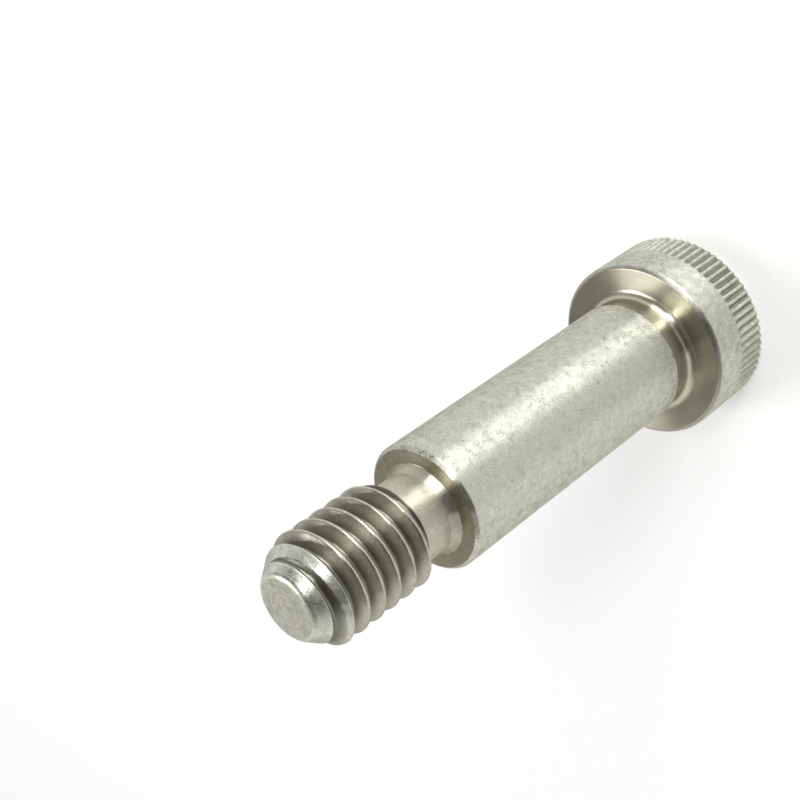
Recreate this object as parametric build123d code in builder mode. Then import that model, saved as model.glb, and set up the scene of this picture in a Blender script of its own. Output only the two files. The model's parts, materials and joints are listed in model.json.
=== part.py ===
"""Shoulder bolt, 3/8 in shoulder, 1 in long, 5/16-18 UNC thread: one turned stainless piece.

The bolt stands on the flat top of its head, as it is set down on a bench: its axis is Z,
z = 0 is the top of the head with the mouth of the hex socket, and the thread points up.
"""

import os
from math import radians, tan

from build123d import *

os.makedirs("parts", exist_ok=True)

INCH = 25.4

# Head
head_dia = 0.5625 * INCH
head_height = 0.25 * INCH
head_flat_dia = 12.2          # flat top inside the bevel
head_bevel_height = 0.52
head_edge_break = 0.35        # softens the corner between the bevel and the flat top
rim_break = 0.3               # small chamfer round the bearing face

# Knurl: straight flutes round the outer half of the head
flute_count = 72
flute_depth = 0.24
flute_width = 0.44
knurl_end = 3.45              # where the flutes stop, from the top of the head
flute_runout = 0.35           # length over which a flute rises to nothing

# Hex socket for a 3/16 in key
socket_across_flats = 0.1895 * INCH
socket_depth = 3.4
socket_drill_angle = 118.0
countersink_dia = 6.56
countersink_angle = 120.0

# Undercut below the head, so the bearing face meets a bushing squarely
undercut_dia = 9.0
undercut_width = 1.8
undercut_fillet = 0.62

# Ground shoulder
shoulder_dia = 9.48
shoulder_length = 1.0 * INCH
shoulder_chamfer = 0.27

# Neck between shoulder and thread
neck_dia = 6.06
neck_flare_dia = 6.8
neck_flare_length = 0.65
neck_length = 2.85            # shoulder face to the foot of the thread

# 5/16-18 UNC thread
thread_dia = 0.3113 * INCH
thread_pitch = INCH / 18
thread_length = 0.5 * INCH    # shoulder face to tip
thread_crest_flat = thread_pitch / 8
thread_root_flat = thread_pitch / 6
thread_depth = 0.8656
first_crest = 3.396           # shoulder face to the first crest, on the side towards -X
tip_dia = 4.7
tip_cone_length = 2.1
tip_edge_break = 0.4
clearance = 0.06              # how far a cutter stands proud of the metal

head_r = head_dia / 2
shoulder_r = shoulder_dia / 2
neck_r = neck_dia / 2
thread_r = thread_dia / 2
shoulder_end_z = head_height + shoulder_length
tip_z = shoulder_end_z + thread_length

# The turned blank: half of its outline, revolved about the bolt's axis
with BuildPart() as blank:
    with BuildSketch(Plane.XZ) as outline:
        with BuildLine():
            Polyline(
                (0, 0),
                (head_flat_dia / 2, 0),
                (head_r, head_bevel_height),
                (head_r, head_height - rim_break),
                (head_r - rim_break, head_height),
                (undercut_dia / 2, head_height),
                (undercut_dia / 2, head_height + undercut_width),
                (shoulder_r, head_height + undercut_width + (shoulder_dia - undercut_dia) / 2),
                (shoulder_r, shoulder_end_z - shoulder_chamfer),
                (shoulder_r - shoulder_chamfer, shoulder_end_z),
                (neck_flare_dia / 2, shoulder_end_z),
                (neck_r, shoulder_end_z + neck_flare_length),
                (neck_r, shoulder_end_z + neck_length),
                (thread_r, shoulder_end_z + neck_length + (thread_r - neck_r) * tan(radians(30))),
                (thread_r, tip_z - tip_cone_length),
                (tip_dia / 2, tip_z),
                (0, tip_z),
                close=True,
            )
        make_face()
        for corner, length in (
            ((head_flat_dia / 2, 0), head_edge_break),
            ((tip_dia / 2, tip_z), tip_edge_break),
        ):
            chamfer(outline.vertices().sort_by_distance(corner)[0], length)
        undercut_root = (undercut_dia / 2, head_height)
        fillet(outline.vertices().sort_by_distance(undercut_root)[0], undercut_fillet)
    revolve(axis=Axis.Z)

# One flute of the straight knurl: a V groove in the rim that opens through the bevel,
# and whose end away from the bevel rises to nothing
flute_foot_r = head_r - flute_depth
flute_mouth_r = head_r + clearance
flute_mouth_half = flute_width / 2 * (1 + clearance / flute_depth)
runout_plane = Plane.XY.offset(knurl_end - flute_runout)
with BuildPart() as flute:
    with BuildSketch(Plane.XY.offset(-clearance)):
        Polygon(
            (flute_foot_r, 0),
            (flute_mouth_r, flute_mouth_half),
            (flute_mouth_r, -flute_mouth_half),
            align=None,
        )
    extrude(amount=knurl_end - flute_runout + clearance)
    with BuildSketch(runout_plane):
        Polygon(
            (flute_foot_r, 0),
            (flute_mouth_r, flute_mouth_half),
            (flute_mouth_r, -flute_mouth_half),
            align=None,
        )
    with BuildSketch(runout_plane.offset(flute_runout)):
        Polygon(
            (head_r, 0),
            (flute_mouth_r, flute_mouth_half / 2),
            (flute_mouth_r, -flute_mouth_half / 2),
            align=None,
        )
    loft(ruled=True)

# Hex socket: drilled, broached to a hexagon and countersunk
socket_floor_r = socket_across_flats / 2
drill_point_length = socket_floor_r / tan(radians(socket_drill_angle / 2))
countersink_depth = (countersink_dia - socket_across_flats) / 2 / tan(radians(countersink_angle / 2))
with BuildPart() as socket:
    with BuildSketch(Plane.XY.offset(-clearance)):
        RegularPolygon(socket_floor_r, 6, major_radius=False)
    extrude(amount=socket_depth + clearance)
    with BuildSketch(Plane.XZ):
        with BuildLine():
            Polyline(
                (0, 0),
                (countersink_dia / 2, 0),
                (socket_floor_r, countersink_depth),
                (socket_floor_r, socket_depth),
                (0, socket_depth + drill_point_length),
                close=True,
            )
        make_face()
    revolve(axis=Axis.Z)

# Thread groove: a V with a narrow flat root, swept along a right-hand helix. It starts in
# the open neck on the +X side, one pitch before the first crest comes round to the -X side
groove_root_r = thread_r - thread_depth
groove_mouth_r = thread_r + clearance
groove_root_half = thread_root_flat / 2
groove_mouth_half = (thread_pitch - thread_crest_flat) / 2 + clearance * tan(radians(30))
groove_start = shoulder_end_z + first_crest - thread_pitch
groove_height = thread_length - neck_length + 2 * thread_pitch
with BuildPart() as thread_groove:
    with BuildLine() as groove_path:
        Helix(thread_pitch, groove_height, thread_r, center=(0, 0, groove_start))
    with BuildSketch(Plane.XZ):
        with Locations((0, groove_start)):
            Polygon(
                (groove_root_r, -groove_root_half),
                (groove_mouth_r, -groove_mouth_half),
                (groove_mouth_r, groove_mouth_half),
                (groove_root_r, groove_root_half),
                align=None,
            )
    sweep(path=groove_path.wires()[0], is_frenet=True)

with BuildPart() as shoulder_bolt:
    add(blank.part)
    add(socket.part, mode=Mode.SUBTRACT)
    add(thread_groove.part, mode=Mode.SUBTRACT)
    with PolarLocations(0, flute_count):
        add(flute.part, mode=Mode.SUBTRACT)

shoulder_bolt.part.label = "shoulder_bolt"
export_step(shoulder_bolt.part, "parts/shoulder_bolt.step")
print("volume", round(shoulder_bolt.part.volume, 1), "mm3; box", shoulder_bolt.part.bounding_box().size)
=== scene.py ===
# %% [markdown]
# # A stainless shoulder bolt
# A shoulder bolt is turned from one bar: a knurled head with a hex socket, a ground
# shoulder that a lever or roller turns on, a thin neck and a coarse thread. This notebook
# dresses the CAD bolt with a finer skin and with metal that looks tumbled in some places
# and freshly turned in others. The CAD model is loaded first and never moved: everything
# else takes its main sizes from it, and every length below is in metres.

# %% Load the CAD bolt
import json
from math import cos, pi, radians, sin, tan

import bmesh
import bpy
import numpy as np
from mathutils import Matrix, Vector

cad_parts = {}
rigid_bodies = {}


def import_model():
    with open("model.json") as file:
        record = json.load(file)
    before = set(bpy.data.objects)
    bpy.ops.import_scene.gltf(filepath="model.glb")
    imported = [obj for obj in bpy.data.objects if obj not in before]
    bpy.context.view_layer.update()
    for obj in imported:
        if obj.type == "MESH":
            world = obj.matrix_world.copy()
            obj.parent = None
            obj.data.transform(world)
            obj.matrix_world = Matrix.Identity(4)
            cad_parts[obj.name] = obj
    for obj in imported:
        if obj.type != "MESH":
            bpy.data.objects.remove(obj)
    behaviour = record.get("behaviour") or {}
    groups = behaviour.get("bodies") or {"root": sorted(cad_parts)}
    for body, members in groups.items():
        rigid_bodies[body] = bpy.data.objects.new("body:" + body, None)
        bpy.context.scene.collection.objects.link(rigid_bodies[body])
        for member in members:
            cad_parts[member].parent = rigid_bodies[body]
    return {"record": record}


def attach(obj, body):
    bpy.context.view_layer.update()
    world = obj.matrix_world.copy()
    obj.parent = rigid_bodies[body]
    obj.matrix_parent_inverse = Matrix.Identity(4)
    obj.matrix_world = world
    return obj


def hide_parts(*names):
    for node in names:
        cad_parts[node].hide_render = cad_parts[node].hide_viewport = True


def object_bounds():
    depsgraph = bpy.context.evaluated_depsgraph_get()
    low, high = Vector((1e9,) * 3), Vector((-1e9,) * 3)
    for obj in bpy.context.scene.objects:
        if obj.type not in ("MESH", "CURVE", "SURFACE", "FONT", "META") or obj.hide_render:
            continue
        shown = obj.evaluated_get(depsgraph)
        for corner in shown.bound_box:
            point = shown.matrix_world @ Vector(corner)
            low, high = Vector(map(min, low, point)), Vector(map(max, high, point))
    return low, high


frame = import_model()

MM = 0.001
INCH = 25.4 * MM
cad_low, cad_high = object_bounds()

# %% [markdown]
# ## Sizes
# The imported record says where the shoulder, the bearing face and the shoulder's end are,
# and the CAD box gives the head's radius and the tip's height. The small forms that the
# record doesn't name, such as the undercut and the neck, are repeated here from the
# drawing of the bolt.

# %% Read the sizes
mounts = {mount["name"]: mount for mount in frame["record"]["mounts"]}
head_r = cad_high.x
tip_z = cad_high.z
shoulder_r = mounts["shoulder"]["dims"]["r_mm"] * MM
bearing_z = mounts["bearing_face"]["pos_m"][2]
shoulder_end_z = mounts["shoulder_end_face"]["pos_m"][2]
print("head radius", round(head_r / MM, 3), "mm; shoulder end at", round(shoulder_end_z / MM, 3), "mm")

# %% [markdown]
# ## Writing node maths as sums
# A formula is easier to read as a sum than as a web of boxes. `Wire` stands for one output
# socket, and its operators add the Math nodes. `Graph.add` makes any other node: it takes
# the node's type, its settings and what goes into its sockets. Both serve shader trees and
# geometry trees, because Math nodes are the same in both.

# %% Sockets with operators
class Wire:
    """One output socket of a node tree. Sums of wires add Math nodes."""

    def __init__(self, graph, socket):
        self.graph = graph
        self.socket = socket

    def maths(self, operation, *values):
        return self.graph.add("ShaderNodeMath", {"operation": operation}, dict(enumerate(values)))

    def __add__(self, other):
        return self.maths("ADD", self, other)

    def __sub__(self, other):
        return self.maths("SUBTRACT", self, other)

    def __rsub__(self, other):
        return self.maths("SUBTRACT", other, self)

    def __mul__(self, other):
        return self.maths("MULTIPLY", self, other)

    def __truediv__(self, other):
        return self.maths("DIVIDE", self, other)

    def __abs__(self):
        return self.maths("ABSOLUTE", self)

    __radd__ = __add__
    __rmul__ = __mul__

    def sine(self):
        return self.maths("SINE", self)

    def cosine(self):
        return self.maths("COSINE", self)

    def root(self):
        return self.maths("SQRT", self)

    def at_most(self, other):
        return self.maths("MINIMUM", self, other)

    def at_least(self, other):
        return self.maths("MAXIMUM", self, other)

    def step(self, start, end):
        """0 before start, 1 after end, and a smooth rise between them."""
        return self.graph.add(
            "ShaderNodeMapRange",
            {"interpolation_type": "SMOOTHSTEP"},
            {"Value": self, "From Min": start, "From Max": end},
        )


class Graph:
    """A node tree that is filled from Python."""

    def __init__(self, tree):
        self.tree = tree
        tree.nodes.clear()

    def add(self, kind, settings=None, inputs=None, out=0):
        node = self.tree.nodes.new(kind)
        for name, value in (settings or {}).items():
            setattr(node, name, value)
        for key, value in (inputs or {}).items():
            self.feed(node.inputs[key], value)
        if node.outputs:
            return Wire(self, node.outputs[out])

    def feed(self, socket, value):
        if isinstance(value, Wire):
            self.tree.links.new(value.socket, socket)
        else:
            socket.default_value = value


# %% [markdown]
# ## Turned forms
# Everything a lathe cuts is a half outline spun about the axis, so one helper makes all of
# it. `rounded` first breaks each corner with a small arc, because no real edge is
# perfectly sharp and the arc is what catches the light. A point just before and just
# after each arc keeps the smooth shading from creeping over the flat faces.

# %% Outlines
def rounded(outline, steps=4, hold=0.03 * MM):
    """Outline points (radius, height, corner radius), with each corner made a small arc."""
    fine = []
    for i, (r, z, corner) in enumerate(outline):
        here = np.array([r, z])
        if corner == 0 or i in (0, len(outline) - 1):
            fine.append(here)
            continue
        to_last = np.array(outline[i - 1][:2]) - here
        to_next = np.array(outline[i + 1][:2]) - here
        shortest = min(np.linalg.norm(to_last), np.linalg.norm(to_next))
        to_last = to_last / np.linalg.norm(to_last)
        to_next = to_next / np.linalg.norm(to_next)
        half = 0.5 * np.arccos(np.clip(to_last @ to_next, -1, 1))
        reach = min(corner / np.tan(half), 0.45 * shortest)
        radius = reach * np.tan(half)
        middle = to_last + to_next
        centre = here + middle / np.linalg.norm(middle) * radius / np.sin(half)
        first, last = here + to_last * reach, here + to_next * reach
        spare = min(hold, 0.45 * (0.5 * shortest - reach))
        fine.append(first + to_last * spare)
        for k in range(steps + 1):
            spoke = (first - centre) * (1 - k / steps) + (last - centre) * (k / steps)
            fine.append(centre + spoke / np.linalg.norm(spoke) * radius)
        fine.append(last + to_next * spare)
    return fine


def refined(outline, longest):
    """The same outline with no step longer than longest."""
    fine = [outline[0]]
    for point in outline[1:]:
        start = fine[-1]
        count = max(1, int(np.ceil(np.linalg.norm(point - start) / longest)))
        fine += [start + (point - start) * k / count for k in range(1, count + 1)]
    return fine


# %% [markdown]
# `skin` joins rings of points into faces. Rings may have different numbers of points, as
# long as one is a multiple of the next, so that the knurled head can be fine and the
# plain shoulder coarse. A ring of one point is a pole, and closes the form.

# %% Skins
SEAM = 0.002 * MM


def ring(radius, height, segments):
    """A ring about the axis. Radius and height are numbers, or one number for each angle."""
    angle = 2 * pi * np.arange(segments) / segments
    height = np.broadcast_to(height, angle.shape)
    return np.stack([radius * np.cos(angle), radius * np.sin(angle), height], axis=1)


def rings_of(outline, segments):
    return [ring(r, z, segments) for r, z in outline]


def pole(height):
    return np.array([[0.0, 0.0, height]])


def skin(name, rings):
    """A mesh object through the rings, which run from the bottom of the bolt round its outside."""
    points = np.concatenate(rings)
    starts = np.cumsum([0] + [len(r) for r in rings])
    faces = []
    for row in range(len(rings) - 1):
        low, high = starts[row], starts[row + 1]
        many, few = len(rings[row]), len(rings[row + 1])
        if many == 1:
            faces += [(low, high + (k + 1) % few, high + k) for k in range(few)]
        elif few == 1:
            faces += [(low + k, low + (k + 1) % many, high) for k in range(many)]
        elif many == few:
            for k in range(many):
                after = (k + 1) % many
                faces.append((low + k, low + after, high + after, high + k))
        else:
            share = many // few
            for k in range(few):
                after = (k + 1) % few
                fan = [low + (k * share + j) % many for j in range(share + 1)]
                turn = share // 2
                faces += [(fan[j], fan[j + 1], high + k) for j in range(turn)]
                faces.append((fan[turn], high + after, high + k))
                faces += [(fan[j], fan[j + 1], high + after) for j in range(turn, share)]
    mesh = bpy.data.meshes.new(name)
    mesh.from_pydata(points.tolist(), [], [tuple(int(i) for i in face) for face in faces])
    mesh.shade_smooth()
    piece = bpy.data.objects.new(name, mesh)
    bpy.context.scene.collection.objects.link(piece)
    return piece


def sewn(pieces, name):
    """The pieces as one closed mesh object: shared edges are merged and open ends filled."""
    shell = bmesh.new()
    for piece in pieces:
        shell.from_mesh(piece.data)
        bpy.data.objects.remove(piece)
    bmesh.ops.remove_doubles(shell, verts=shell.verts, dist=SEAM)
    open_edges = [edge for edge in shell.edges if edge.is_boundary]
    if open_edges:
        bmesh.ops.holes_fill(shell, edges=open_edges, sides=0)
    still_open = sum(1 for edge in shell.edges if not edge.is_manifold)
    mesh = bpy.data.meshes.new(name)
    shell.to_mesh(mesh)
    shell.free()
    mesh.shade_smooth()
    joined = bpy.data.objects.new(name, mesh)
    bpy.context.scene.collection.objects.link(joined)
    print(name, "faces:", len(mesh.polygons), "filled edges:", len(open_edges), "open:", still_open)
    return joined


def slots_by(piece, materials, choose):
    """Gives each face the material whose number choose returns for the face's radius and height."""
    piece.data.materials.clear()
    for material in materials:
        piece.data.materials.append(material)
    for face in piece.data.polygons:
        face.material_index = choose(face.center.xy.length, face.center.z)


# %% [markdown]
# ## The metal
# The whole bolt is one stainless steel, but each face was left by a different tool. The
# head and shoulder were tumbled after turning, which leaves a fine, speckled satin with
# small dents. The bearing face, the undercut and the shoulder's end keep the bright turned
# finish with faint rings, and the neck is a little duller. Each finish could be built by
# hand, but one function keeps them alike: it mixes a fine grain and slow clouding into the
# colour and the roughness, and a Bump node adds dents and the rings of the turning tool.
# Turning never leaves quite even rings, so they come from a noise that is read at the
# point's radius and height alone, which makes it the same all the way round. The same
# noise paints the rings into the colour as well, lighter on their ridges and darker in
# their grooves, and the colour is painted darker in the dents and in deep grooves: painted
# light and shade. Steel also mirrors a little less where it is seen nearly edge-on.
# Specular Tint gives a metal that, and it outlines the bolt against a white floor.

# %% The steel material
GRAIN_SIZE = 0.12 * MM
MOTTLE_SIZE = 0.6 * MM
CLOUD_SIZE = 3.2 * MM
DENT_SIZE = 0.3 * MM
RING_SIZE = 0.08 * MM
EDGE_TINT = (0.5, 0.5, 0.47, 1)


def noise(graph, place, size, detail=3.0):
    """Noise from about 0.3 to 0.7, with blots of about the size given, in metres."""
    inputs = {"Vector": place, "Scale": 1 / size, "Detail": detail}
    return graph.add("ShaderNodeTexNoise", None, inputs)


def mixed(graph, share, first, second):
    """A colour from first at a share of 0 to second at 1, and brighter still past 1."""
    settings = {"data_type": "RGBA", "clamp_factor": False}
    return graph.add("ShaderNodeMix", settings, {0: share, 6: first, 7: second}, out=2)


def steel(name, tint, roughness, speckle, dents, rings=0.0, ring_shade=0.0, grain=0.0, painted_shade=None):
    """Stainless steel. speckle varies colour and roughness; dents and rings are heights in metres.

    ring_shade is how much the rings show in the colour: painted light on their ridges and
    painted shade in their grooves. grain draws reflections out along the bolt. painted_shade
    is a function that returns how much painted shade darkens a point, from its radius and
    height.
    """
    material = bpy.data.materials.new(name)
    material.use_nodes = True
    graph = Graph(material.node_tree)
    place = graph.add("ShaderNodeTexCoord", out="Object")
    x, y, z = (graph.add("ShaderNodeSeparateXYZ", None, {0: place}, out=axis) for axis in "XYZ")
    radius = (x * x + y * y).root()
    fine = noise(graph, place, GRAIN_SIZE) - 0.5
    coarse = noise(graph, place, MOTTLE_SIZE) - 0.5
    cloud = noise(graph, place, CLOUD_SIZE) - 0.5
    dent = 1.0 - noise(graph, place, DENT_SIZE, 1.0).step(0.25, 0.36)
    mottle = 1.4 * speckle * fine + 1.1 * speckle * coarse + 0.3 * cloud
    # the colour is a little darker in the dents: painted shade
    shade = 0.88 + mottle - 0.15 * speckle * dent
    height = dents * fine + (1.2 * dents) * coarse - (0.4 * dents) * dent
    if rings:
        round_the_axis = graph.add("ShaderNodeCombineXYZ", None, {0: radius, 1: z})
        ringing = noise(graph, round_the_axis, RING_SIZE, 2.0) - 0.5
        height = height + rings * ringing
        # the rings in the colour: painted light on their ridges, painted shade in their grooves
        shade = shade + ring_shade * ringing
    if painted_shade:
        # painted shade where the given function finds a groove
        shade = shade * (1.0 - painted_shade(radius, z))
    dark = tuple(0.25 * c for c in tint) + (1,)
    colour = mixed(graph, shade.at_most(1.25).at_least(0.0), dark, tuple(tint) + (1,))
    unevenness = (0.3 * speckle) * fine + (0.2 * speckle) * coarse + (0.1 * speckle) * cloud
    bump = graph.add("ShaderNodeBump", None, {"Strength": 1.0, "Distance": 1.0, "Height": height})
    metal = graph.add(
        "ShaderNodeBsdfPrincipled",
        None,
        {
            "Base Color": colour,
            "Metallic": 1.0,
            "Specular Tint": EDGE_TINT,
            "Roughness": (roughness + unevenness).at_least(0.08),
            "Anisotropic": grain,
            "Anisotropic Rotation": 0.25,
            "Normal": bump,
        },
    )
    graph.add("ShaderNodeOutputMaterial", None, {"Surface": metal})
    print("metal:", name, "with", len(material.node_tree.nodes), "nodes")
    return material


# %% [markdown]
# ## Painted shade in the grooves
# The grooves of the knurl and of the thread are painted darker, where shade falls in them,
# and so are the rings that the cutting-off tool left on the tip. It could be painted by
# hand, but how deep a point lies follows from its radius and height, so three short rules
# place it. The knurl's rule compares the radius with that of the head's side, or of the
# bevel, at the same height.

# %% Where the painted shade lies
flute_depth = 0.25 * MM
thread_r = 0.3113 * INCH / 2
thread_depth = 0.8656 * MM
ring_pitch = 0.44 * MM
bevel_start_r = 6.1 * MM
BEVEL_RISE = 2.0


# painted shade in the knurl's grooves
def groove_shade(radius, height):
    plain_r = (bevel_start_r + height * BEVEL_RISE).at_most(head_r)
    return 0.55 * (plain_r - radius).step(0.02 * MM, 0.8 * flute_depth)


# painted shade towards the thread's root
def root_shade(radius, height):
    return 0.75 * (1.0 - radius.step(thread_r - thread_depth, thread_r - 0.1 * MM))


# painted shade in the grooves of the rings on the tip's face
def ring_groove_shade(radius, height):
    wave = (radius * (2 * pi / ring_pitch)).cosine() * -0.5 + 0.5
    return 0.15 * wave * (1.0 - radius.step(1.2 * MM, 2.2 * MM))


print("deep places, mm: flutes", round(flute_depth / MM, 2), "and thread", round(thread_depth / MM, 2))

# %% [markdown]
# ## The finishes
# The tumbled faces are greener and lighter than the turned ones. Grinding marks run round
# the bolt, so they spread a reflection along it: `grain` is full on the shoulder, where
# it draws the lamp out into one long highlight, and weaker where less grinding was done.
# The tip was cut off and faced in a different direction, so it has rings and no grain.

# %% Eight finishes
STAINLESS = (0.7, 0.715, 0.61)
satin = steel("satin_shoulder", STAINLESS, roughness=0.31, speckle=0.9, dents=0.9e-5, grain=1.0)
head_satin = steel(
    "satin_head", STAINLESS, roughness=0.42, speckle=0.95, dents=0.9e-5, grain=0.8, painted_shade=groove_shade
)

turned_rings = {"rings": 0.8e-6, "ring_shade": 0.15}
bright = steel(
    "bright_turned",
    (0.66, 0.64, 0.525),
    roughness=0.26,
    speckle=0.12,
    dents=0.2e-6,
    grain=0.88,
    **turned_rings,
)
# The shoulder's end gets a darker, browner tint than the other turned faces: painted shade.
shaded_end_steel = steel(
    "shoulder_end",
    (0.54, 0.52, 0.41),
    roughness=0.3,
    speckle=0.4,
    dents=1.0e-6,
    grain=0.55,
    **turned_rings,
)
neck_steel = steel(
    "neck_turned", (0.68, 0.665, 0.545), roughness=0.36, speckle=0.7, dents=1.5e-6, grain=0.97
)
# The thread gets a darker tint than the shoulder: painted shade on the thread.
shaded_thread_steel = steel(
    "shaded_thread_steel",
    (0.58, 0.57, 0.475),
    roughness=0.32,
    speckle=0.6,
    dents=1.0e-6,
    grain=0.75,
    painted_shade=root_shade,
)

cut_off_rings = {"rings": 0.4e-5, "ring_shade": 0.2}
tip_steel = steel(
    "tip_cone", (0.72, 0.735, 0.64), roughness=0.36, speckle=0.8, dents=0.6e-5, **cut_off_rings
)
# The tip's face gets a much lighter tint than the rest of the steel: painted light.
lit_face_steel = steel(
    "tip_face",
    (0.88, 0.89, 0.79),
    roughness=0.4,
    speckle=0.6,
    dents=0.5e-5,
    painted_shade=ring_groove_shade,
    **cut_off_rings,
)

# %% [markdown]
# ## The socket
# The head's top has the socket that the key goes in. A hexagon isn't round, so its rings
# take their radius from the hexagon's own rule instead of from the lathe: the distance
# from the middle to a flat, divided by the cosine of the angle from that flat. The
# countersink is a cone, so its depth where it meets the hexagon follows the same rule.

# %% Socket rings
FINE = 720
COARSE = 240
socket_flat_r = 0.1895 * INCH / 2
socket_depth = 3.4 * MM
countersink_r = 3.28 * MM
countersink_fall = 1 / tan(radians(60))
drill_point = socket_flat_r / tan(radians(59))

from_flat = (2 * pi * np.arange(FINE) / FINE + pi / 6) % (pi / 3) - pi / 6
hexagon_r = socket_flat_r / np.cos(from_flat)
mouth_z = (countersink_r - hexagon_r) * countersink_fall
socket_rings = [
    pole(socket_depth + drill_point),
    ring(0.96 * socket_flat_r, socket_depth + 0.04 * drill_point, FINE),
    ring(socket_flat_r, socket_depth, FINE),
    ring(hexagon_r - 0.02 * MM, socket_depth, FINE),
    ring(hexagon_r, socket_depth - 0.03 * MM, FINE),
    ring(hexagon_r, mouth_z + 0.05 * MM, FINE),
    ring(hexagon_r + 0.01 * MM, mouth_z + 0.01 * MM, FINE),
    ring(hexagon_r + 0.05 * MM, mouth_z - 0.05 * MM * countersink_fall, FINE),
    ring(countersink_r - 0.05 * MM, 0.05 * MM * countersink_fall, FINE),
    ring(countersink_r + 0.01 * MM, 0.0, FINE),
    ring(countersink_r + 0.06 * MM, 0.0, FINE),
]
print("socket:", len(socket_rings), "rings; across flats", round(2 * socket_flat_r / MM, 2), "mm")

# %% [markdown]
# ## The knurl
# Seventy-two straight grooves run round the outer half of the head. A knurl repeats, so
# only one groove is modelled, as a strip that is 5 degrees wide, and a Geometry Nodes tree
# turns it round the axis. Merge by Distance then sews the strips into one band. The
# strip's rows follow the head's bevel and side, and each point is pushed in to the
# groove's foot where the side stands outside it. A little noise, with a fixed seed, wears
# the band unevenly, as tumbling does.

# %% One strip of the knurl
FLUTES = 72
COLUMNS = FINE // FLUTES
knurl_end_z = 3.45 * MM
run_out_length = 0.45 * MM
flat_end_r = 5.6 * MM
band_end_z = 3.75 * MM

side_outline = rounded(
    [
        (flat_end_r, 0.0, 0.0),
        (6.0 * MM, 0.0, 0.5 * MM),
        (head_r, 0.52 * MM, 0.1 * MM),
        (head_r, band_end_z, 0.0),
    ],
    steps=5,
)
strip_outline = refined(side_outline, 0.16 * MM)


def groove_share(column):
    """How deep the groove is at a column of the strip: 1 in its middle, 0 on the land."""
    groove_half = 0.38
    from_middle = abs(column / COLUMNS - 0.5)
    return max(0.0, 1 - from_middle / groove_half) ** 0.85


strip_points = []
for r, z in strip_outline:
    run_out = float(np.clip((knurl_end_z - z) / run_out_length, 0, 1))
    run_out = run_out * run_out * (3 - 2 * run_out)
    for column in range(COLUMNS + 1):
        angle = 2 * pi * column / FINE
        cut_r = min(r, head_r - flute_depth * groove_share(column) * run_out)
        strip_points.append((cut_r * cos(angle), cut_r * sin(angle), z))
strip_faces = []
for row in range(len(strip_outline) - 1):
    for column in range(COLUMNS):
        low = row * (COLUMNS + 1) + column
        high = low + COLUMNS + 1
        strip_faces.append((low, low + 1, high + 1, high))
strip_mesh = bpy.data.meshes.new("knurl")
strip_mesh.from_pydata(strip_points, [], strip_faces)
knurl = bpy.data.objects.new("knurl", strip_mesh)
bpy.context.scene.collection.objects.link(knurl)
print("one strip:", len(strip_faces), "faces")

# %% [markdown]
# ## Trees that run once
# A Geometry Nodes tree usually stays on its object as a modifier. These pieces have to end
# as plain meshes, so `run_tree` adds the modifier, sets its inputs, takes the result as a
# mesh and clears the modifier again. An input is set by its socket's identifier, because
# its name is only a label. `worn` is a part that both trees below use: it pushes points
# a hair towards the axis by a noise with a fixed seed, as tumbling wears an edge.

# %% Trees with named inputs
WEAR_SIZE = 0.8 * MM


def tree_with_inputs(name, inputs):
    """A geometry tree with named inputs, and a wire for each of them."""
    tree = bpy.data.node_groups.new(name, "GeometryNodeTree")
    tree.interface.new_socket("Geometry", in_out="INPUT", socket_type="NodeSocketGeometry")
    tree.interface.new_socket("Geometry", in_out="OUTPUT", socket_type="NodeSocketGeometry")
    for label, kind in inputs:
        tree.interface.new_socket(label, in_out="INPUT", socket_type="NodeSocket" + kind)
    graph = Graph(tree)
    entry = tree.nodes.new("NodeGroupInput")
    return graph, {socket.name: Wire(graph, socket) for socket in entry.outputs if socket.name}


def run_tree(piece, graph, values):
    """Runs the tree on the piece and keeps the result as the piece's plain mesh."""
    modifier = piece.modifiers.new(graph.tree.name, "NODES")
    modifier.node_group = graph.tree
    for item in graph.tree.interface.items_tree:
        if item.in_out == "INPUT" and item.name in values:
            modifier[item.identifier] = values[item.name]
    evaluated = piece.evaluated_get(bpy.context.evaluated_depsgraph_get())
    mesh = bpy.data.meshes.new_from_object(evaluated)
    piece.modifiers.clear()
    piece.data = mesh
    mesh.name = piece.name


def worn(graph, band, amount, seed, where):
    """Pushes points towards the axis by up to amount. where gives 1 at the heights that wear."""
    place = graph.add("GeometryNodeInputPosition")
    wear = graph.add(
        "ShaderNodeTexNoise",
        {"noise_dimensions": "4D"},
        {"Vector": place, "W": seed, "Scale": 1 / WEAR_SIZE, "Detail": 2.0},
    )
    flattened = {0: place, 1: (1.0, 1.0, 0.0)}
    outward = graph.add("ShaderNodeVectorMath", {"operation": "MULTIPLY"}, flattened)
    outward = graph.add("ShaderNodeVectorMath", {"operation": "NORMALIZE"}, {0: outward})
    height = graph.add("ShaderNodeSeparateXYZ", None, {0: place}, out="Z")
    inward = -1.0 * wear * amount * where(height)
    push = graph.add("ShaderNodeVectorMath", {"operation": "SCALE"}, {0: outward, "Scale": inward})
    return graph.add("GeometryNodeSetPosition", None, {"Geometry": band, "Offset": push})


# %% [markdown]
# The knurl's tree makes one point for each groove, and the strip is put on every point and
# turned by its share of a full circle. The band isn't worn close to its two ends, where
# it meets the plain head, so that the seams stay closed.

# %% Geometry Nodes turn the strip round the axis
def knurl_wear(height):
    return height.step(0.2 * MM, 0.6 * MM) * (1.0 - height.step(2.9 * MM, 3.4 * MM))


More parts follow.
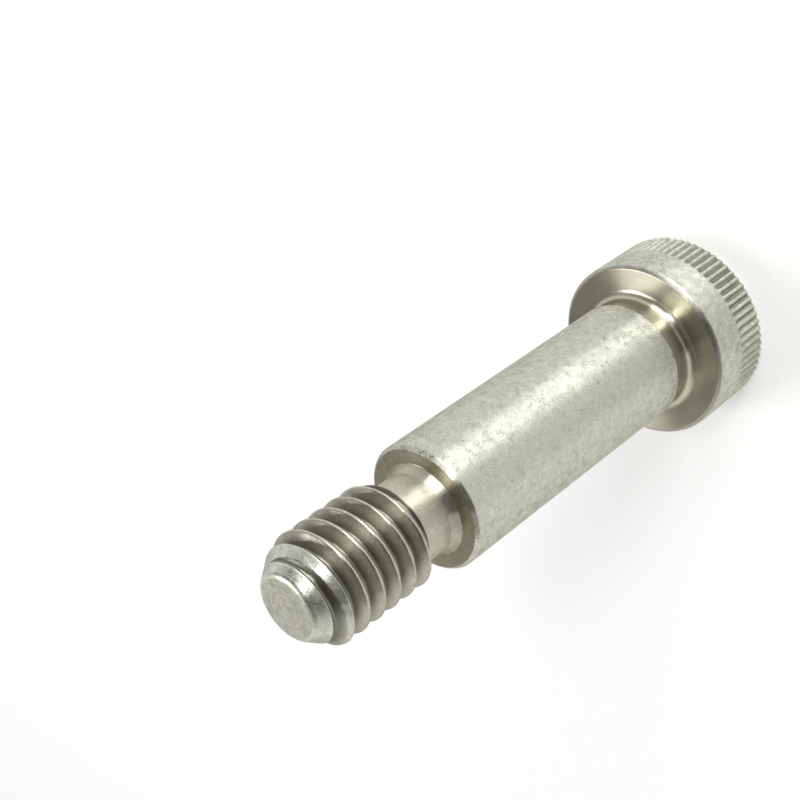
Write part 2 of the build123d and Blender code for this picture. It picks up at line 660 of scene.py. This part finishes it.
graph, given = tree_with_inputs(
    "knurl_round_the_head",
    [("Flutes", "Int"), ("Wear", "Float"), ("Seed", "Float"), ("Metal", "Material")],
)
spots = graph.add("GeometryNodePoints", None, {"Count": given["Flutes"]})
turn = graph.add("GeometryNodeInputIndex") * (2 * pi) / given["Flutes"]
spin = graph.add("ShaderNodeCombineXYZ", None, {"Z": turn})
strips = graph.add(
    "GeometryNodeInstanceOnPoints",
    None,
    {"Points": spots, "Instance": given["Geometry"], "Rotation": spin},
)
band = graph.add("GeometryNodeRealizeInstances", None, {0: strips})
band = graph.add("GeometryNodeMergeByDistance", None, {"Geometry": band, "Distance": SEAM})
band = worn(graph, band, given["Wear"], given["Seed"], knurl_wear)
band = graph.add("GeometryNodeRealizeInstances", None, {0: band})
band = graph.add("GeometryNodeSetMaterial", None, {"Geometry": band, "Material": given["Metal"]})
graph.add("NodeGroupOutput", None, {0: band})
run_tree(knurl, graph, {"Flutes": FLUTES, "Wear": 0.03 * MM, "Seed": 4.0, "Metal": head_satin})
print("knurl band:", len(knurl.data.polygons), "faces")

# %% [markdown]
# ## Head, shoulder and neck
# From the end of the knurl up to the thread the bolt is plain turning: a small bevel round
# the bearing face, the undercut, the ground shoulder, its chamfered end and the neck,
# which flares into that end. The skin goes on a little way inside the thread, where
# nothing shows, and closes there.

# %% The bolt's body
undercut_r = 4.5 * MM
undercut_end_z = bearing_z + 1.8 * MM
neck_r = 3.03 * MM
thread_foot_z = shoulder_end_z + 2.85 * MM
turned_outline = rounded(
    [
        (head_r, band_end_z, 0.0),
        (head_r, bearing_z - 0.3 * MM, 0.2 * MM),
        (head_r - 0.3 * MM, bearing_z, 0.08 * MM),
        (undercut_r, bearing_z, 0.62 * MM),
        (undercut_r, undercut_end_z, 0.06 * MM),
        (shoulder_r, undercut_end_z + shoulder_r - undercut_r, 0.08 * MM),
        (shoulder_r, shoulder_end_z - 0.27 * MM, 0.2 * MM),
        (shoulder_r - 0.27 * MM, shoulder_end_z, 0.05 * MM),
        (3.4 * MM, shoulder_end_z, 0.1 * MM),
        (neck_r, shoulder_end_z + 0.65 * MM, 0.25 * MM),
        (neck_r, thread_foot_z + 0.3 * MM, 0.05 * MM),
        (neck_r - 0.3 * MM, thread_foot_z + 0.4 * MM, 0.0),
    ],
    steps=6,
)
fine_part = [point for point in turned_outline if point[1] < undercut_end_z - 0.4 * MM]
coarse_part = [point for point in turned_outline if point[1] >= undercut_end_z - 0.4 * MM]
lower = skin("lower", socket_rings + [ring(flat_end_r, 0.0, FINE)])
upper = skin(
    "upper",
    rings_of(fine_part, FINE) + rings_of(coarse_part, COARSE) + [pole(thread_foot_z + 0.4 * MM)],
)
body = sewn([lower, knurl, upper], "bolt_body")


def body_metal(r, z):
    """Number of the metal in body_metals, from the radius and height of a face's middle."""
    if z > shoulder_end_z + 0.02 * MM:
        return body_metals.index(neck_steel)
    if z > shoulder_end_z - 0.02 * MM:
        return body_metals.index(shaded_end_steel)
    if z > undercut_end_z:
        return body_metals.index(satin)
    if z > bearing_z - 0.02 * MM or r < countersink_r + 0.005 * MM:
        return body_metals.index(bright)
    return body_metals.index(head_satin)


body_metals = [head_satin, satin, bright, neck_steel, shaded_end_steel]
slots_by(body, body_metals, body_metal)
print("metals on the body:", [metal.name for metal in body_metals])

# %% [markdown]
# ## The thread
# A thread is a rule more than a shape: at a given angle and height the radius depends only
# on how far that height is from the nearest groove, and a groove climbs by one pitch in
# each turn. It could be a profile swept along a helix, but the ends, where cones cut the
# first and last turns down, would need cutting afterwards. So a flat grid is rolled up by
# a Geometry Nodes tree, and each point works out its own radius. One side of the grid
# runs along the helix and the other across one groove, which keeps the crests exactly on
# grid lines. Each turn's edge meets the next one's, and Merge by Distance sews them.

# %% Where the thread starts and ends
pitch = INCH / 18
groove_start_z = shoulder_end_z + 3.396 * MM - pitch
tip_cone = 2.1 * MM
tip_r = 2.35 * MM
cone_start_z = tip_z - tip_cone
cone_slope = (thread_r - tip_r) / tip_cone
nose_z = tip_z - 0.55 * MM
ACROSS = 49
RUN_OUT = 0.15
print("pitch, mm:", round(pitch / MM, 3), "cone from", round(cone_start_z / MM, 2))

# %% The thread's tree
def thread_wear(height):
    return 1.0 - height.step(nose_z - 0.5 * MM, nose_z)


graph, given = tree_with_inputs(
    "thread_by_rule",
    [
        ("Turns", "Int"),
        ("Steps per turn", "Int"),
        ("Pitch", "Float"),
        ("Crest radius", "Float"),
        ("Depth", "Float"),
        ("Softness", "Float"),
        ("Wear", "Float"),
        ("Seed", "Float"),
        ("Metal", "Material"),
    ],
)
grid = graph.add(
    "GeometryNodeMeshGrid",
    None,
    {"Vertices X": given["Turns"] * given["Steps per turn"] + 1, "Vertices Y": ACROSS},
)
place = graph.add("GeometryNodeInputPosition")
turn = (graph.add("ShaderNodeSeparateXYZ", None, {0: place}, out="X") + 0.5) * given["Turns"]
across = graph.add("ShaderNodeSeparateXYZ", None, {0: place}, out="Y")
height = groove_start_z + given["Pitch"] * (turn + across)

# the groove: a flat root between two flanks, cut a little deeper as it runs out on the cone
crest_half, root_half = 1 / 16, 1 / 12
flank = given["Depth"] / (0.5 - crest_half - root_half)
root_r = given["Crest radius"] - given["Depth"]
groove_r = root_r + (abs(across) - root_half) * flank
run_out = (height - cone_start_z).at_least(0.0) * RUN_OUT
groove_r = groove_r.maths("SMOOTH_MAX", groove_r, root_r, given["Softness"]) - run_out
groove_r = groove_r.maths("SMOOTH_MIN", groove_r, given["Crest radius"], given["Softness"] * 0.6)

# the cones that cut its first and last turns, and the part that is sunk under the tip
cone_r = thread_r - (height - cone_start_z) * cone_slope
foot_r = neck_r + (height - thread_foot_z) / tan(radians(30))
sunk = (height - nose_z).at_least(0.0) * 0.5
radius = groove_r.maths("SMOOTH_MIN", groove_r, cone_r, given["Softness"] * 0.4)
radius = radius.maths("SMOOTH_MIN", radius, foot_r, given["Softness"] * 0.4) - sunk
radius = radius.at_least(1.0 * MM)

# rolled up about the axis
height = height.at_most(tip_z - 0.3 * MM)
angle = turn * (2 * pi)
around = {"X": radius * angle.cosine(), "Y": radius * angle.sine(), "Z": height}
rolled = graph.add("ShaderNodeCombineXYZ", None, around)
strip = graph.add("GeometryNodeSetPosition", None, {"Geometry": grid, "Position": rolled})
strip = graph.add("GeometryNodeMergeByDistance", None, {"Geometry": strip, "Distance": SEAM})
strip = worn(graph, strip, given["Wear"], given["Seed"], thread_wear)
strip = graph.add("GeometryNodeRealizeInstances", None, {0: strip})
strip = graph.add("GeometryNodeSetMaterial", None, {"Geometry": strip, "Material": given["Metal"]})
graph.add("NodeGroupOutput", None, {0: strip})
print("thread tree:", len(graph.tree.nodes), "nodes")

# %% [markdown]
# The tree makes its own grid, so the object that it runs on can be any small mesh. Eight
# turns reach from the neck to past the tip's face, and what lies beyond the cones is sunk
# out of sight. The cone at the tip was cut with the tip's face, so its faces take the
# tip's finish.

# %% Roll the thread up
rolled_thread = skin("rolled_thread", [ring(thread_r, shoulder_end_z, 3), pole(tip_z)])
run_tree(
    rolled_thread,
    graph,
    {
        "Turns": 8,
        "Steps per turn": 96,
        "Pitch": pitch,
        "Crest radius": thread_r,
        "Depth": thread_depth,
        "Softness": 0.2 * MM,
        "Wear": 0.03 * MM,
        "Seed": 9.0,
        "Metal": shaded_thread_steel,
    },
)
thread = sewn([rolled_thread], "thread")


def thread_metal(r, z):
    """Number of the metal: 1 on the cone that cuts the last turns, 0 elsewhere."""
    cone_here = thread_r - (z - cone_start_z) * cone_slope
    return 1 if z > cone_start_z and r > cone_here - 0.04 * MM else 0


slots_by(thread, [shaded_thread_steel, tip_steel], thread_metal)

# %% [markdown]
# ## The tip
# The last half millimetre of the cone has no groove left in it, so it is plain turning
# again: the cone, a softly rounded edge and the face where the bar was cut off. The
# cutting-off tool left rings on that face. A Bump node could draw them, but they are
# deep enough to be seen from the side, so the face's outline itself is a shallow wave.

# %% The tip's cone and face
nose_r = thread_r - (nose_z - cone_start_z) * cone_slope
middle_r = 0.05 * MM
ring_depth = 0.016 * MM
nose_outline = rounded(
    [
        (nose_r - 0.5 * MM, nose_z - 0.1 * MM, 0.0),
        (nose_r, nose_z, 0.02 * MM),
        (tip_r, tip_z, 0.6 * MM),
        (middle_r, tip_z, 0.0),
    ],
    steps=8,
)[:-1]
face_r = nose_outline[-1][0]
for r in np.arange(face_r, middle_r, -0.05 * MM)[1:]:
    wave = (1 - cos(2 * pi * r / ring_pitch)) / 2
    fade = 1 - min(1, r / face_r) ** 3
    nose_outline.append(np.array([r, tip_z - ring_depth * wave * fade]))
tip = skin(
    "tip",
    [pole(nose_z - 0.1 * MM)] + rings_of(refined(nose_outline, 0.3 * MM), COARSE) + [pole(tip_z)],
)
slots_by(tip, [tip_steel, lit_face_steel], lambda r, z: 1 if z > tip_z - 0.1 * MM else 0)
print("tip faces:", len(tip.data.polygons))

# %% [markdown]
# ## Fastening the skin to the frame
# The three skins ride on the CAD model's only body, and together they stand for its one
# node.

# %% Ride and replace
for piece in (body, thread, tip):
    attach(piece, "root")
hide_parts("shoulder_bolt")
print("riding on the root body:", [piece.name for piece in (body, thread, tip)])

# %% [markdown]
# ## The floor
# Metal shows its surroundings more than itself, so the light matters as much as the
# material. The floor is plain and pale. More lamp light would whiten it, but would wash
# out the metal too. Instead it glows faintly, and Light Path limits the glow to what the
# camera sees directly or mirrored in the metal, so it lights nothing else and the floor
# keeps the bolt's shadow.

# %% The floor
FLOOR_LIFT = 0.36


def floor_material():
    material = bpy.data.materials.new("pale_floor")
    material.use_nodes = True
    graph = Graph(material.node_tree)
    seen = graph.add("ShaderNodeLightPath", out="Is Camera Ray")
    for ray in ("Is Glossy Ray", "Is Transmission Ray"):
        seen = seen + graph.add("ShaderNodeLightPath", out=ray)
    paint = graph.add(
        "ShaderNodeBsdfPrincipled",
        None,
        {
            "Base Color": (0.9, 0.9, 0.9, 1),
            "Roughness": 0.9,
            "Specular IOR Level": 0.0,
            "Emission Color": seen.at_most(1.0) * FLOOR_LIFT,
            "Emission Strength": 1.0,
        },
    )
    graph.add("ShaderNodeOutputMaterial", None, {"Surface": paint})
    return material


floor_reach = 3.0
floor_mesh = bpy.data.meshes.new("floor")
corners = [(-1, -1), (1, -1), (1, 1), (-1, 1)]
floor_mesh.from_pydata([(x * floor_reach, y * floor_reach, 0) for x, y in corners], [], [(0, 1, 2, 3)])
floor = bpy.data.objects.new("floor", floor_mesh)
floor.data.materials.append(floor_material())
bpy.context.scene.collection.objects.link(floor)
print("floor:", 2 * floor_reach, "m wide, lifted by", FLOOR_LIFT)

# %% [markdown]
# ## The lamps
# A round bar turns a lamp into a stripe along its side, and the lamp's width and place
# set the stripe's. The key lamp stands low to the side and makes the long highlight on
# the shoulder. Its light is focused, which keeps it off the floor close by. A small lamp
# above it picks out the edges that look up, and one behind lights the floor there.

# %% The lamps
def area_lamp(name, azimuth, elevation, distance, width, height, power, spread=180):
    """An area lamp at an azimuth from +X and an elevation, in degrees, facing the bolt."""
    data = bpy.data.lights.new(name, "AREA")
    data.shape = "RECTANGLE"
    data.size, data.size_y = width, height
    data.energy = power
    data.spread = radians(spread)
    lamp = bpy.data.objects.new(name, data)
    a, e = radians(azimuth), radians(elevation)
    away = Vector((cos(a) * cos(e), sin(a) * cos(e), sin(e)))
    lamp.location = Vector((0, 0, 0.02)) + away * distance
    lamp.rotation_euler = away.to_track_quat("Z", "Y").to_euler()
    bpy.context.scene.collection.objects.link(lamp)


area_lamp(
    "key", azimuth=-9, elevation=14, distance=0.5, width=0.3, height=0.25, power=0.35, spread=90
)
area_lamp("above", azimuth=-22, elevation=50, distance=0.5, width=0.08, height=0.08, power=0.4)
area_lamp("behind", azimuth=104, elevation=60, distance=0.6, width=0.2, height=0.2, power=0.9)

# %% [markdown]
# ## The sky
# The sky stands for the room that the steel mirrors. It is white at the horizon and dim
# and warm overhead, so that the faces that look up, such as the thread's flanks and the
# shoulder's end, come out darker than the sides. A dark screen stands beside the key
# lamp: mirrored next to the lamp, it gives the highlight a crisp dark border. A sheet of
# white paper to the side and a warm patch of room opposite the camera brighten the tip
# and the faces that look up. An image of a real studio would do too, but a few soft
# patches are easier to place: each compares the sky's direction with its own.

# %% The sky
world = bpy.data.worlds.new("studio")
world.use_nodes = True
bpy.context.scene.world = world
graph = Graph(world.node_tree)
way = graph.add("ShaderNodeTexCoord", out="Generated")


def facing(x, y, z):
    """How far the sky's direction leans to a direction: 1 straight at it, 0 square to it."""
    towards = {0: way, 1: (x, y, z)}
    return graph.add("ShaderNodeVectorMath", {"operation": "DOT_PRODUCT"}, towards, out="Value")


SCREEN_AZIMUTH = radians(-64)
up = facing(0, 0, 1)
level = (1.0 - up * up).at_least(0.001).root()
overhead = up.step(0.15, 0.7)
paper = facing(-0.97, -0.05, 0.25).step(0.65, 0.98)
screen = facing(cos(SCREEN_AZIMUTH), sin(SCREEN_AZIMUTH), 0) / level
screen = screen.step(cos(radians(29)), cos(radians(20))) * (1.0 - up.step(0.65, 0.8))
room = facing(-0.56, 0.62, 0.55).step(0.82, 0.96)
sky = mixed(graph, overhead, (1.0, 1.0, 1.0, 1), (0.14, 0.13, 0.115, 1))
sky = mixed(graph, paper, sky, (0.95, 0.95, 0.93, 1))
sky = mixed(graph, screen * 0.95, sky, (0.06, 0.055, 0.05, 1))
sky = mixed(graph, room * 0.3, sky, (0.3, 0.27, 0.21, 1))
studio = graph.add("ShaderNodeBackground", None, {"Color": sky, "Strength": 1.0})
graph.add("ShaderNodeOutputWorld", None, {"Surface": studio})
print("sky:", len(world.node_tree.nodes), "nodes")

# %% [markdown]
# ## The camera
# The camera looks down the bolt from past its thread, and is rolled so that the bolt lies
# across the view from corner to corner, although it stands on its head.

# %% The camera
camera_place = Vector((0.0584, -0.05113, 0.08637))
camera_aim = Vector((0.00502, 0.00479, 0.02844))
camera_roll = radians(-122.94)
camera_data = bpy.data.cameras.new("camera")
camera_data.sensor_width = 36.0
camera_data.lens = 63.88
camera_data.clip_start, camera_data.clip_end = 0.005, 10.0
camera = bpy.data.objects.new("camera", camera_data)
aimed = (camera_aim - camera_place).to_track_quat("-Z", "Y").to_matrix().to_4x4()
tilted = Matrix.Rotation(camera_roll, 4, "Z")
camera.matrix_world = Matrix.Translation(camera_place) @ aimed @ tilted
bpy.context.scene.collection.objects.link(camera)
bpy.context.scene.camera = camera
bpy.context.scene.view_settings.view_transform = "Standard"
print("camera to bolt, mm:", round((camera_aim - camera_place).length / MM))
